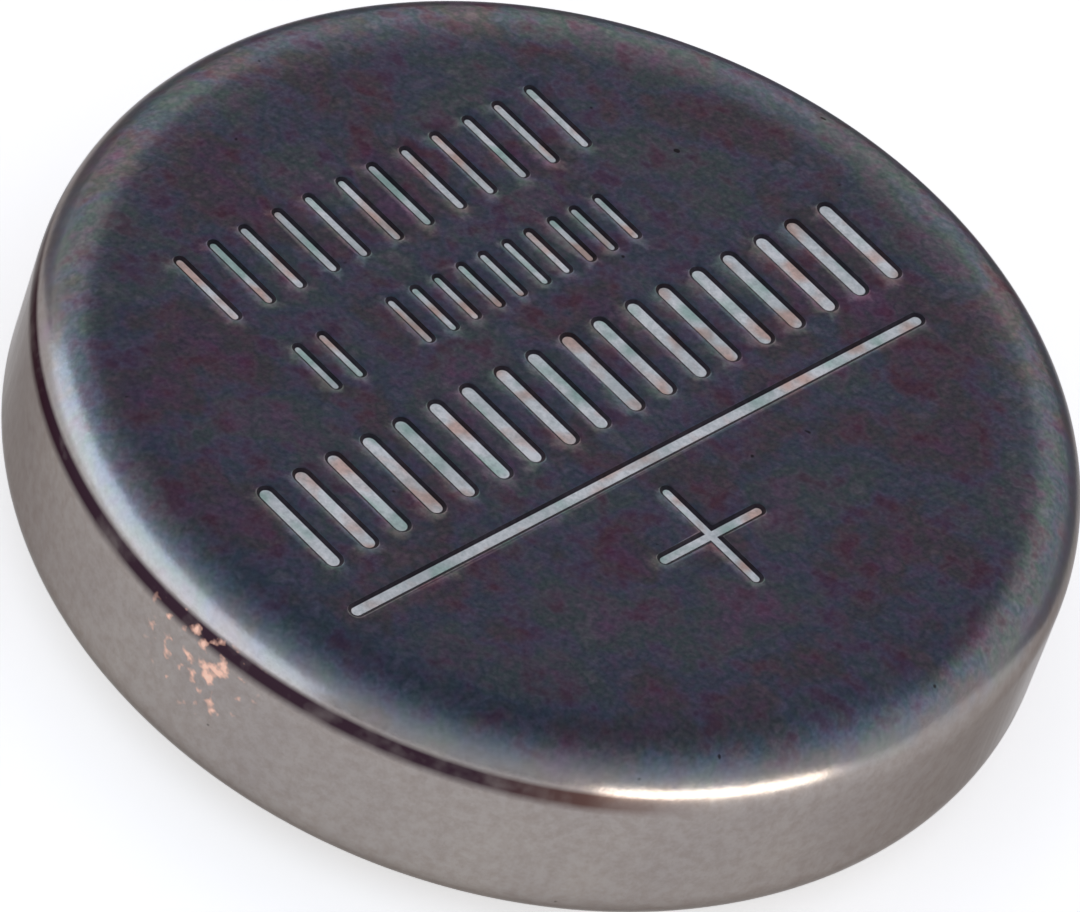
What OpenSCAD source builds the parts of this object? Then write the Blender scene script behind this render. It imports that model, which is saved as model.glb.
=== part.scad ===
// Lithium coin cell, standing on its negative cap with the positive face up.
// Millimetres. The origin is the middle of the cap's contact face, and +Z is the cell's axis.

/* [Cell] */
// Outer diameter of the cell
cell_d = 10; // [8.2:0.1:24]
// Height from the cap's contact face to the can's face
cell_h = 2.5; // [2.1:0.1:5]

/* [Positive can] */
// Sheet thickness of the can
can_wall = 0.25; // [0.15:0.05:0.3]
// Outer radius of the corner between the face and the wall
corner_r = 0.7; // [0.4:0.05:0.8]
// Radial width of the crowned margin round the flat of the face
crown_w = 0.4; // [0.2:0.05:0.6]
// Slope of the face at the outside of the crowned margin, in degrees
crown_slope = 5; // [2:1:10]
// Outer radius of the crimp at the foot of the wall
crimp_r = 0.6; // [0.45:0.05:0.8]
// Flat width of the crimped lip
lip_w = 0.25; // [0.1:0.05:0.5]
// Height of the lip above the cap's contact face
lip_rise = 0.12; // [0.05:0.01:0.25]

/* [Marks] */
// Depth of the coined marks
mark_depth = 0.03; // [0.01:0.01:0.08]
// Direction of the marks' rows, in degrees from +X
mark_turn = 57; // [-180:1:180]
// Arm-to-arm length of the plus sign
plus_l = 1.35; // [0.8:0.05:1.6]
// Width of the plus sign's strokes
plus_w = 0.14; // [0.08:0.01:0.25]
// Length of the plain rule
rule_l = 7.4; // [4:0.1:7.6]
// Width of the plain rule
rule_w = 0.16; // [0.08:0.01:0.25]

/* [Negative cap] */
// Sheet thickness of the cap
cap_wall = 0.25; // [0.15:0.05:0.3]
// Slope of the step round the contact face, in degrees
step_slope = 65; // [50:1:80]
// Inside radius of the cap's bends
cap_bend_r = 0.1; // [0.05:0.01:0.12]

/* [Gasket] */
// Thickness of the gasket between the can's wall and the cap's skirt
gasket_side = 0.3; // [0.2:0.05:0.4]
// Thickness of the gasket between the lip and the cap's flange
gasket_tongue = 0.25; // [0.2:0.05:0.35]
// Thickness of the gasket between the skirt's edge and the can's floor
gasket_floor = 0.3; // [0.2:0.05:0.4]
// Thickness of the gasket's lip inside the skirt
gasket_inner = 0.2; // [0.1:0.05:0.3]
// Length of the gasket's lip inside the skirt
gasket_inner_l = 0.45; // [0.2:0.05:0.5]
// Width of the gasket that shows between the lip and the cap
gasket_show = 0.25; // [0.15:0.05:0.4]

/* [Inside] */
// Sheet thickness of the collector net and the support ring
foil_t = 0.1; // [0.05:0.01:0.15]
// Width of the support ring's foot
ring_foot_w = 0.45; // [0.3:0.05:0.8]
// Height of the support ring
ring_h = 0.55; // [0.4:0.05:0.8]
// Thickness of the separator
separator_t = 0.15; // [0.1:0.01:0.2]
// Height of the separator's turned-up rim
separator_rim_h = 0.4; // [0.3:0.05:0.5]
// Thickness of the lithium disc
lithium_t = 0.7; // [0.65:0.01:0.8]
// Gap between the lithium disc's edge and the cap's bend
lithium_gap = 0.5; // [0.1:0.05:0.8]
// Edge chamfer of the pressed pellet
pellet_chamfer = 0.15; // [0.12:0.01:0.25]
// Long way of a net opening, from node to node
net_long = 1.2; // [0.8:0.1:2]
// Short way of a net opening, from node to node
net_short = 0.7; // [0.5:0.05:1]
// Width of the net's strands
strand_w = 0.14; // [0.1:0.01:0.2]

/* [Fit] */
// Gap between curved faces that seat on each other
seat_gap = 0.02; // [0.02:0.01:0.04]
// Gap between the loose pieces inside
loose_gap = 0.05; // [0.03:0.01:0.08]

/* [Hidden] */
// Facets of a quarter bend
quarter = 10;
// More than any face that a cut passes through
over = 0.1;

// Levels, from the contact face up
cap_floor_z = cap_wall;
flange_z = lip_rise + can_wall + gasket_tongue;
lithium_top_z = cap_floor_z + lithium_t;
separator_top_z = lithium_top_z + separator_t;
can_floor_z = cell_h - can_wall;
pellet_top_z = can_floor_z - foil_t;
skirt_top_z = can_floor_z - gasket_floor;

// Radii, from the outside in
cell_r = cell_d / 2;
can_in_r = cell_r - can_wall;
lip_in_r = cell_r - crimp_r - lip_w;
skirt_out_r = can_in_r - gasket_side;
skirt_in_r = skirt_out_r - cap_wall;
gasket_in_r = skirt_in_r - seat_gap - gasket_inner;
separator_r = gasket_in_r - loose_gap;
ring_out_r = separator_r - separator_t - loose_gap;
ring_in_r = ring_out_r - foil_t;
ring_foot_in_r = ring_out_r - ring_foot_w;
pellet_r = ring_in_r - seat_gap;
net_r = ring_foot_in_r - loose_gap;

// Middle radii of the can's bends, and the radius of the flat of its face
corner_mid_r = corner_r - can_wall / 2;
crimp_mid_r = crimp_r - can_wall / 2;
crown_mid_r = crown_w / sin(crown_slope);
corner_run = can_wall / 2 + corner_mid_r * (1 - sin(crown_slope));
face_flat_r = cell_r - corner_run - crown_w;
// Height of the straight wall
wall_h = cell_h - lip_rise - can_wall - crown_mid_r * (1 - cos(crown_slope))
         - corner_mid_r * cos(crown_slope) - crimp_mid_r;

// The middle of the can's sheet, from the centre of the face to the edge of the lip
can_path = sheet_path([0, cell_h - can_wall / 2, 0], [
    [face_flat_r, -crown_slope, crown_mid_r],
    [0, crown_slope - 90, corner_mid_r],
    [wall_h, -90, crimp_mid_r],
    [lip_w, 0, 0]
]);

// The cap's step: its bends, its straight slope and the flat that they leave
cap_mid_r = cap_bend_r + cap_wall / 2;
slope_l = (flange_z - 2 * cap_mid_r * (1 - cos(step_slope))) / sin(step_slope);
step_run = 2 * cap_mid_r * sin(step_slope) + slope_l * cos(step_slope);
flange_in_r = lip_in_r - gasket_show;
cap_flat_r = flange_in_r - step_run;
flange_l = skirt_out_r - cap_wall / 2 - cap_mid_r - flange_in_r;
skirt_l = skirt_top_z - flange_z - cap_wall / 2 - cap_mid_r;

// The marks are laid out on a face of this radius, and follow the real face's radius
mark_layout_r = 4.35;
mark_scale = (face_flat_r + crown_w) / mark_layout_r;
plus_at = [-0.4, -2.3];
rule_at = [-0.35, -1.3];
// Rows of stroke pairs: foot, height, start and end along the row, stroke width, places, empty place
mark_rows = [
    [1.95, 0.9, -2.7, 2.2, 0.13, 6, -1],
    [0.82, 0.64, -2.4, 1.75, 0.12, 7, 1],
    [-0.82, 1.1, -3.95, 3.7, 0.19, 9, -1]
];
// Half the spacing of a pair, as a share of its place
pair_share = 0.26;

// ---- Sheet metal sections ----

// A station is [r, z, heading]. This one lies a straight run further on.
function along(s, run) = [s[0] + run * cos(s[2]), s[1] + run * sin(s[2]), s[2]];

// The station after a bend: a positive turn is to the left.
function around(s, turn, radius) =
    let (way = sign(turn) * radius, end = s[2] + turn)
    [s[0] + way * (sin(end) - sin(s[2])), s[1] - way * (cos(end) - cos(s[2])), end];

// Stations along the middle of a bent sheet. Each step is [straight run, turn, middle radius].
function stations(s, steps, i = 0) =
    i == len(steps) ? [] :
    let (run = steps[i][0], turn = steps[i][1], radius = steps[i][2],
         start = along(s, run),
         count = turn == 0 ? 0 : max(2, ceil(abs(turn) / 90 * quarter)),
         bend = [for (k = [1 : 1 : count]) around(start, turn * k / count, radius)],
         last = count > 0 ? bend[count - 1] : start)
    concat(run > 0 ? [start] : [], bend, stations(last, steps, i + 1));

// The line at distance d to the left of the stations
function beside(path, d) = [for (s = path) [s[0] - d * sin(s[2]), s[1] + d * cos(s[2])]];

function backwards(list) = [for (i = [len(list) - 1 : -1 : 0]) list[i]];

function sheet_path(start, steps) = concat([start], stations(start, steps));

// Section of a sheet of thickness t that lies along a path
module sheet_section(path, t) {
    polygon(concat(beside(path, t / 2), backwards(beside(path, -t / 2))));
}

// Points of an arc from angle a to angle b
function arc(centre, r, a, b) =
    [for (k = [0 : quarter]) let (w = a + (b - a) * k / quarter) centre + r * [cos(w), sin(w)]];

// ---- Marks ----

// A straight groove with round ends, centred on a point and lying along X
module groove(length, width) {
    straight = length - width;
    square([straight, width], center = true);
    for (side = [-1, 1]) translate([side * straight / 2, 0]) circle(d = width, $fn = 24);
}

// One row of upright stroke pairs
module mark_row(row) {
    foot = row[0]; tall = row[1]; from = row[2]; to = row[3];
    width = row[4]; places = row[5]; empty = row[6];
    pitch = (to - from) / places;
    for (i = [0 : places - 1]) if (i != empty)
        for (side = [-1, 1])
            translate([from + (i + 0.5 + side * pair_share) * pitch, foot + tall / 2])
                rotate(90) groove(tall, width);
}

module plus_sign() {
    for (turn = [0, 90]) rotate(turn) groove(plus_l, plus_w);
}

// Everything that is coined into the face
module marks() {
    translate([0, 0, cell_h - mark_depth]) rotate(mark_turn) linear_extrude(mark_depth + over)
        scale([mark_scale, mark_scale]) {
            for (row = mark_rows) mark_row(row);
            translate(rule_at) groove(rule_l, rule_w);
            translate(plus_at) plus_sign();
        }
}

// ---- Pieces ----

// Drawn cup: crowned face, straight wall, and a rim crimped inwards over the gasket
module positive_can() {
    color("#8d8b8d") difference() {
        rotate_extrude($fn = 96) sheet_section(can_path, can_wall);
        marks();
    }
}

// Expanded-metal net disc that is welded to the inside of the can's face
module cathode_collector() {
    long_count = ceil(net_r / net_long) + 1;
    short_count = ceil(net_r / net_short) + 1;
    reach = net_r - net_long / 2;
    half_hole = [net_long - 2 * strand_w, net_short - strand_w] / 2;
    color("#9a9ca0") translate([0, 0, pellet_top_z]) linear_extrude(foil_t) difference() {
        circle(r = net_r, $fn = 96);
        for (i = [-2 * long_count : 2 * long_count], j = [-2 * short_count : 2 * short_count])
            if ((i + j) % 2 == 0 && norm([i * net_long, j * net_short] / 2) < reach)
                translate([i * net_long, j * net_short] / 2) polygon([
                    [half_hole[0], 0], [0, half_hole[1]], [-half_hole[0], 0], [0, -half_hole[1]]
                ]);
    }
}

// L-section ring: its foot lies on the can's floor, its wall holds the pellet's edge
module cathode_ring() {
    bend_mid_r = foil_t;
    corner = bend_mid_r + foil_t / 2;
    color("#a5a7aa") rotate_extrude($fn = 96)
        sheet_section(sheet_path([ring_foot_in_r, can_floor_z - foil_t / 2, 0], [
            [ring_foot_w - corner, -90, bend_mid_r],
            [ring_h - corner, 0, 0]
        ]), foil_t);
}

// Pressed pellet with chamfered edges
module cathode_pellet() {
    inner = pellet_r - pellet_chamfer;
    color("#2b2a2b") rotate_extrude($fn = 96) polygon([
        [0, separator_top_z], [inner, separator_top_z], [pellet_r, separator_top_z + pellet_chamfer],
        [pellet_r, pellet_top_z - pellet_chamfer], [inner, pellet_top_z], [0, pellet_top_z]
    ]);
}

// Shallow dish with its rim turned up round the pellet
module separator() {
    bend_mid_r = separator_t;
    corner = bend_mid_r + separator_t / 2;
    color("#eceae2") rotate_extrude($fn = 96)
        sheet_section(sheet_path([0, lithium_top_z + separator_t / 2, 0], [
            [separator_r - corner, 90, bend_mid_r],
            [separator_rim_h - corner, 0, 0]
        ]), separator_t);
}

// Lithium disc on the cap's floor
module lithium_anode() {
    color("#c3c5c6") translate([0, 0, cap_floor_z])
        cylinder(r = cap_flat_r - lithium_gap, h = lithium_t, $fn = 96);
}

// Seal: it fills the can round the cap, with a tongue under the flange and a lip inside the skirt
module gasket() {
    inside_skirt = skirt_in_r - seat_gap;
    round_skirt = skirt_out_r + seat_gap;
    round_flange = cap_bend_r + cap_wall + seat_gap;
    tongue_top_z = flange_z - seat_gap;
    tongue_in_r = (flange_in_r + lip_in_r) / 2;
    inner_lip_z = skirt_top_z - gasket_inner_l;
    can_inside = beside(can_path, -can_wall / 2 - seat_gap);
    lip_z = can_inside[len(can_inside) - 1][1];
    color("#3a3a3c") rotate_extrude($fn = 96) difference() {
        intersection() {
            polygon(concat(can_inside, [[0, lip_z]]));
            translate([gasket_in_r, 0]) square([cell_r, cell_h]);
        }
        // Room for the cap and for what lies inside it
        polygon(concat(
            [[0, 0], [tongue_in_r, 0], [tongue_in_r, tongue_top_z]],
            arc([round_skirt - round_flange, tongue_top_z + round_flange], round_flange, -90, 0),
            [[round_skirt, skirt_top_z], [inside_skirt, skirt_top_z],
             [inside_skirt, inner_lip_z], [0, inner_lip_z]]
        ));
    }
}

// Stepped cup: contact face, sloped step, flange under the tongue and skirt up into the gasket
module negative_cap() {
    color("#a9a6a2") rotate_extrude($fn = 96)
        sheet_section(sheet_path([0, cap_wall / 2, 0], [
            [cap_flat_r, step_slope, cap_mid_r],
            [slope_l, -step_slope, cap_mid_r],
            [flange_l, 90, cap_mid_r],
            [skirt_l, 0, 0]
        ]), cap_wall);
}

positive_can();
cathode_collector();
cathode_ring();
cathode_pellet();
separator();
lithium_anode();
gasket();
negative_cap();
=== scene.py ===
"""Looks of a lithium coin cell that rests on its negative cap, with the positive face up.

Lengths in the classes are millimetres in the cell's own frame: the origin is the middle of the cap's
contact face and +Z is the cell's axis. They become metres where a mesh, a light or the camera is made.
"""

import logging
import math
from collections.abc import Sequence
from dataclasses import dataclass, field
from enum import Enum

import bmesh
import bpy
from mathutils import Matrix, Vector
from mathutils.geometry import delaunay_2d_cdt


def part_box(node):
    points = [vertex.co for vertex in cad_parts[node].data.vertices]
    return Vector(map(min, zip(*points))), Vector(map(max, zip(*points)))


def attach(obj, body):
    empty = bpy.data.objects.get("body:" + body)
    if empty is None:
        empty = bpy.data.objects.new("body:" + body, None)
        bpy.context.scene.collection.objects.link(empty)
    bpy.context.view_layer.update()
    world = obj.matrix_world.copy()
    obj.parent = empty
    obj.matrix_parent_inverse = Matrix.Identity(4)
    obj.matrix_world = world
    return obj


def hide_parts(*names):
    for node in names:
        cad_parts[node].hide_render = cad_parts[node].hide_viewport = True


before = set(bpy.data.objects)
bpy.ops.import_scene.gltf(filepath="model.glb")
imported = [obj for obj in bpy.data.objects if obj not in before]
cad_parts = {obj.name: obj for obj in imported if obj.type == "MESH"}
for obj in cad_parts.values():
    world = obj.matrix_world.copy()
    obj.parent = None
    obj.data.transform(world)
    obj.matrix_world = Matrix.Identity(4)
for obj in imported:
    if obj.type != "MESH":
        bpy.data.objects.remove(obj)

LOG = logging.getLogger("coin_cell")
MM = 0.001
BODY = "root"

Point = tuple[float, float]
Station = tuple[float, float, float]
Colour = tuple[float, float, float, float]

# Facets round a turned piece, of a quarter bend and of a mark's round end
ROUND = 360
QUARTER = 18
ROUND_END = 10
# Corners that turn by more than this are broken edges, and shade as edges
SHARP_ANGLE = math.radians(32)
# Points nearer than this are one point
WELD = 0.0001
# Facets of a broken edge, and the most of a short side that it takes
BREAK_FACETS = 4
BREAK_SHARE = 0.45


# ---- Sizes and sections ----


def node_box(node: str) -> tuple[Vector, Vector]:
    """Gives a CAD node's lowest and highest corners in millimetres."""
    low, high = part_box(node)
    return low / MM, high / MM


@dataclass(frozen=True)
class Step:
    """One step along the middle of a bent sheet: a straight run, then a bend."""

    run: float
    turn: float = 0.0
    radius: float = 0.0


@dataclass(frozen=True)
class BentSheet:
    """A bent sheet's section. Its middle line has a station, (radius, height, heading), at each facet."""

    start: Station
    steps: tuple[Step, ...]
    thickness: float

    def stations(self) -> list[Station]:
        """Gives the stations of the middle line, from its start.

        Returns:
            The stations, each as radius, height and heading in radians.
        """
        here = self.start
        found = [here]
        for step in self.steps:
            here = self._along(here, step.run)
            if step.run > 0:
                found.append(here)
            turn = math.radians(step.turn)
            count = max(2, math.ceil(abs(step.turn) / 90 * QUARTER)) if turn else 0
            bend = [self._around(here, turn * k / count, step.radius) for k in range(1, count + 1)]
            found.extend(bend)
            here = found[-1]
        return found

    def beside(self, distance: float) -> list[Point]:
        """Gives the line at a distance to the left of the middle line, or below zero to the right."""
        return [(r - distance * math.sin(h), z + distance * math.cos(h)) for r, z, h in self.stations()]

    def outline(self) -> list[Point]:
        """Gives both sides of the sheet as one line, out along the left and back along the right."""
        return self.beside(self.thickness / 2) + self.beside(-self.thickness / 2)[::-1]

    @staticmethod
    def _along(at: Station, run: float) -> Station:
        """Gives the station a straight run further on."""
        return at[0] + run * math.cos(at[2]), at[1] + run * math.sin(at[2]), at[2]

    @staticmethod
    def _around(at: Station, turn: float, radius: float) -> Station:
        """Gives the station after a bend. A positive turn is to the left.

        Args:
            at: The station before the bend.
            turn: The turn in radians.
            radius: Radius of the middle line.

        Returns:
            The station.
        """
        way = math.copysign(radius, turn)
        end = at[2] + turn
        return (
            at[0] + way * (math.sin(end) - math.sin(at[2])),
            at[1] - way * (math.cos(end) - math.cos(at[2])),
            end,
        )


def arc(centre: Point, radius: float, first: float, last: float, count: int = QUARTER) -> list[Point]:
    """Gives an arc's points about a centre, both ends included, between two angles in degrees."""
    angles = [math.radians(first + (last - first) * k / count) for k in range(count + 1)]
    return [(centre[0] + radius * math.cos(a), centre[1] + radius * math.sin(a)) for a in angles]


def broken_edges(line: Sequence[Point], size: float, closed: bool) -> list[Point]:
    """Rounds the hard corners of a section, as tumbling or a mould does.

    Args:
        line: The section's points.
        size: How far from the corner the rounding starts.
        closed: Whether the last point joins the first.

    Returns:
        The section with each hard corner as a short curve.
    """
    done: list[Point] = []
    count = len(line)
    for i, corner in enumerate(line):
        if not closed and i in (0, count - 1):
            done.append(corner)
            continue
        here = Vector(corner)
        back = Vector(line[i - 1]) - here
        ahead = Vector(line[(i + 1) % count]) - here
        if back.length < WELD or ahead.length < WELD or math.pi - back.angle(ahead) < SHARP_ANGLE:
            done.append(corner)
            continue
        reach = min(size, BREAK_SHARE * back.length, BREAK_SHARE * ahead.length)
        first = here + back.normalized() * reach
        last = here + ahead.normalized() * reach
        for k in range(BREAK_FACETS + 1):
            t = k / BREAK_FACETS
            at = first * (1 - t) ** 2 + here * (2 * t * (1 - t)) + last * t**2
            done.append((at.x, at.y))
    return done


# ---- Mesh building ----


@dataclass
class Mesh:
    """Vertices and faces of one piece while it is put together, in millimetres."""

    vertices: list[tuple[float, float, float]] = field(default_factory=list)
    faces: list[tuple[int, ...]] = field(default_factory=list)
    finishes: list[int] = field(default_factory=list)

    def add(
        self,
        vertices: Sequence[tuple[float, float, float]],
        faces: Sequence[tuple[int, ...]],
        finish: int | Sequence[int] = 0,
    ) -> None:
        """Adds a patch of faces.

        Args:
            vertices: The patch's vertices.
            faces: Its faces, as places in that list.
            finish: Place of their material, or one place for each face.
        """
        base = len(self.vertices)
        self.vertices.extend(vertices)
        self.faces.extend(tuple(base + i for i in face) for face in faces)
        self.finishes.extend([finish] * len(faces) if isinstance(finish, int) else finish)

    def turn(self, line: Sequence[Point], closed: bool = False, segments: int = ROUND) -> None:
        """Adds the surface that a section sweeps round the cell's axis.

        Args:
            line: The section's points, as radius and height.
            closed: Whether the last point joins the first.
            segments: Facets round the axis.
        """
        angles = [math.tau * k / segments for k in range(segments)]
        rows = [[0] if r < WELD else range(segments) for r, _ in line]
        vertices: list[tuple[float, float, float]] = []
        firsts: list[int] = []
        for (r, z), row in zip(line, rows):
            firsts.append(len(vertices))
            vertices.extend((r * math.cos(angles[k]), r * math.sin(angles[k]), z) for k in row)
        faces: list[tuple[int, ...]] = []
        pairs = [(i, i + 1) for i in range(len(line) - 1)]
        if closed:
            pairs.append((len(line) - 1, 0))
        for a, b in pairs:
            for k in range(segments):
                n = (k + 1) % segments
                ring_a = (firsts[a],) if len(rows[a]) == 1 else (firsts[a] + k, firsts[a] + n)
                ring_b = (firsts[b],) if len(rows[b]) == 1 else (firsts[b] + n, firsts[b] + k)
                if len(ring_a) + len(ring_b) > 2:
                    faces.append(ring_a + ring_b)
        self.add(vertices, faces)

    def piece(self, name: str) -> bpy.types.Object:
        """Makes the Blender object: welded, with outward faces and smooth bends.

        Args:
            name: The object's name.

        Returns:
            The object, in metres.
        """
        data = bpy.data.meshes.new(name)
        data.from_pydata([tuple(c * MM for c in v) for v in self.vertices], [], self.faces)
        for polygon, finish in zip(data.polygons, self.finishes):
            polygon.material_index = finish
        work = bmesh.new()
        work.from_mesh(data)
        bmesh.ops.remove_doubles(work, verts=work.verts, dist=WELD * MM)
        bmesh.ops.recalc_face_normals(work, faces=work.faces)
        work.to_mesh(data)
        work.free()
        data.shade_smooth()
        data.set_sharp_from_angle(angle=SHARP_ANGLE)
        made = bpy.data.objects.new(name, data)
        bpy.context.scene.collection.objects.link(made)
        weighted = made.modifiers.new("even_shading", "WEIGHTED_NORMAL")
        weighted.keep_sharp = True
        return made


@dataclass(frozen=True)
class Groove:
    """A straight groove with round ends, as a middle line with a half width."""

    centre: Point
    length: float
    width: float
    angle: float

    def ends(self) -> tuple[Vector, Vector]:
        """Gives the middles of the two round ends."""
        way = Vector((math.cos(self.angle), math.sin(self.angle))) * (self.length - self.width) / 2
        return Vector(self.centre) - way, Vector(self.centre) + way

    def outline(self, inset: float) -> list[Point]:
        """Gives the groove's outline, moved inwards.

        Args:
            inset: Distance inwards, below zero for outwards.

        Returns:
            The outline's points.
        """
        first, last = self.ends()
        turn = math.degrees(self.angle)
        radius = self.width / 2 - inset
        ahead = arc(tuple(last), radius, turn - 90, turn + 90, ROUND_END)
        return ahead + arc(tuple(first), radius, turn + 90, turn + 270, ROUND_END)

    def distance(self, at: Vector) -> float:
        """Gives how far a point lies outside the groove, or inside it where below zero.

        Args:
            at: The point.

        Returns:
            The distance.
        """
        first, last = self.ends()
        way = last - first
        share = max(0.0, min(1.0, (at - first).dot(way) / way.length_squared))
        return (at - first - way * share).length - self.width / 2


@dataclass(frozen=True)
class PlusSign:
    """A plus sign of two crossed strokes with round ends."""

    centre: Point
    length: float
    width: float
    angle: float

    def strokes(self) -> list[Groove]:
        """Gives the two strokes.

        Returns:
            The strokes, as grooves.
        """
        return [
            Groove(self.centre, self.length, self.width, self.angle + turn) for turn in (0, math.pi / 2)
        ]

    def outline(self, inset: float) -> list[Point]:
        """Gives the sign's outline, moved inwards.

        Args:
            inset: Distance inwards, below zero for outwards.

        Returns:
            The outline's points.
        """
        radius = self.width / 2 - inset
        arm = (self.length - self.width) / 2
        points: list[Point] = []
        for quarter in range(4):
            turn = self.angle + quarter * math.pi / 2
            out = Vector((math.cos(turn), math.sin(turn)))
            side = Vector((-out.y, out.x))
            centre = Vector(self.centre)
            first = math.degrees(turn) - 90
            points.extend(arc(tuple(centre + out * arm), radius, first, first + 180, ROUND_END))
            points.append(tuple(centre + (out + side) * radius))
        return points

    def distance(self, at: Vector) -> float:
        """Gives how far a point lies outside the sign, or inside it where below zero."""
        return min(stroke.distance(at) for stroke in self.strokes())


def triangles(
    loops: Sequence[Sequence[Point]], dots: Sequence[Point]
) -> tuple[list[Point], list[list[int]], list[int]]:
    """Fills a flat sheet with triangles that keep every loop as edges.

    Args:
        loops: Closed lines that must be edges.
        dots: More points to take in.

    Returns:
        The points, the triangles, and for each point the place of its loop, or -1 for a dot.
    """
    points: list[Vector] = []
    edges: list[tuple[int, int]] = []
    owner: list[int] = []
    for place, loop in enumerate(loops):
        base = len(points)
        points.extend(Vector(p) for p in loop)
        owner.extend([place] * len(loop))
        edges.extend((base + i, base + (i + 1) % len(loop)) for i in range(len(loop)))
    points.extend(Vector(p) for p in dots)
    owner.extend([-1] * len(dots))
    found, _, faces, came_from, _, _ = delaunay_2d_cdt(points, edges, [], 0, 0.00001)
    owners = [max((owner[i] for i in sources), default=-1) for sources in came_from]
    return [(p.x, p.y) for p in found], [list(face) for face in faces], owners


# ---- Finishes ----


def linear(code: str) -> Colour:
    """Turns an sRGB hex colour into a linear one.

    Args:
        code: The colour as #rrggbb.

    Returns:
        Linear red, green, blue and an alpha of one.
    """
    parts = [int(code[i : i + 2], 16) / 255 for i in (1, 3, 5)]
    red, green, blue = (p / 12.92 if p <= 0.04045 else ((p + 0.055) / 1.055) ** 2.4 for p in parts)
    return red, green, blue, 1.0


def add_node(
    tree: bpy.types.NodeTree,
    kind: str,
    settings: dict[str | int, object] | None = None,
    links: dict[str | int, bpy.types.Node | bpy.types.NodeSocket] | None = None,
) -> bpy.types.Node:
    """Adds one node with its settings and links.

    Args:
        tree: The node tree.
        kind: The node's type, without the ShaderNode that all of them start with.
        settings: Values of its properties, or of its input sockets by name or place. A colour ramp
            has stops: places from 0 to 1 with their sRGB colours.
        links: What feeds its inputs, by name or place. A node feeds with its first output in use.

    Returns:
        The node.
    """
    made = tree.nodes.new("ShaderNode" + kind)
    for key, value in (settings or {}).items():
        if key == "stops":
            elements = made.color_ramp.elements
            while len(elements) < len(value):
                elements.new(0.5)
            for element, (at, code) in zip(elements, value):
                element.position = at
                element.color = linear(code)
        elif isinstance(key, str) and key not in made.inputs:
            setattr(made, key, value)
        else:
            made.inputs[key].default_value = value
    for key, source in (links or {}).items():
        if isinstance(source, bpy.types.Node):
            source = next(output for output in source.outputs if output.enabled)
        tree.links.new(source, made.inputs[key])
    return made


# Input places of the Mix node: the share of the second, and the two colours
SHARE, FIRST, SECOND = 0, 6, 7
MIX = {"data_type": "RGBA", "blend_type": "MIX"}
DARKEN = {"data_type": "RGBA", "blend_type": "MULTIPLY"}
TIMES = {"operation": "MULTIPLY"}
PLUS = {"operation": "ADD"}
LARGER = {"operation": "MAXIMUM"}


class Grain(Enum):
    """Which way a finish's fine lines run, as how much each axis is stretched."""

    EVEN = (1.0, 1.0, 1.0)
    ALONG_X = (0.05, 1.0, 1.0)
    ALONG_Z = (1.0, 1.0, 0.04)


@dataclass(frozen=True)
class Finish:
    """What every finish has: a name, and a tree that ends in one shader."""

    name: str

    def material(self) -> bpy.types.Material:
        """Makes the material, or gives it back if it is made already.

        Returns:
            The material.
        """
        if self.name in bpy.data.materials:
            return bpy.data.materials[self.name]
        made = bpy.data.materials.new(self.name)
        made.use_nodes = True
        made.node_tree.nodes.clear()
        shader = self.shade(made.node_tree)
        add_node(made.node_tree, "OutputMaterial", None, {"Surface": shader})
        return made

    def shade(self, tree: bpy.types.NodeTree) -> bpy.types.Node:
        """Builds the finish's nodes and gives the shader."""
        raise NotImplementedError

    @staticmethod
    def place(tree: bpy.types.NodeTree, turn: float = 0.0, grain: Grain = Grain.EVEN) -> bpy.types.Node:
        """Gives the place on the cell in millimetres.

        Args:
            tree: The node tree.
            turn: Turn of the grain round the cell's axis, in degrees.
            grain: How the place is stretched for fine lines.

        Returns:
            The node that gives the place.
        """
        coordinate = add_node(tree, "TexCoord")
        turned = {"rotation_type": "Z_AXIS", "Angle": math.radians(-turn)}
        along = add_node(tree, "VectorRotate", turned, {"Vector": coordinate.outputs["Object"]})
        stretched = {"operation": "MULTIPLY", 1: [share / MM for share in grain.value]}
        return add_node(tree, "VectorMath", stretched, {0: along})


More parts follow.
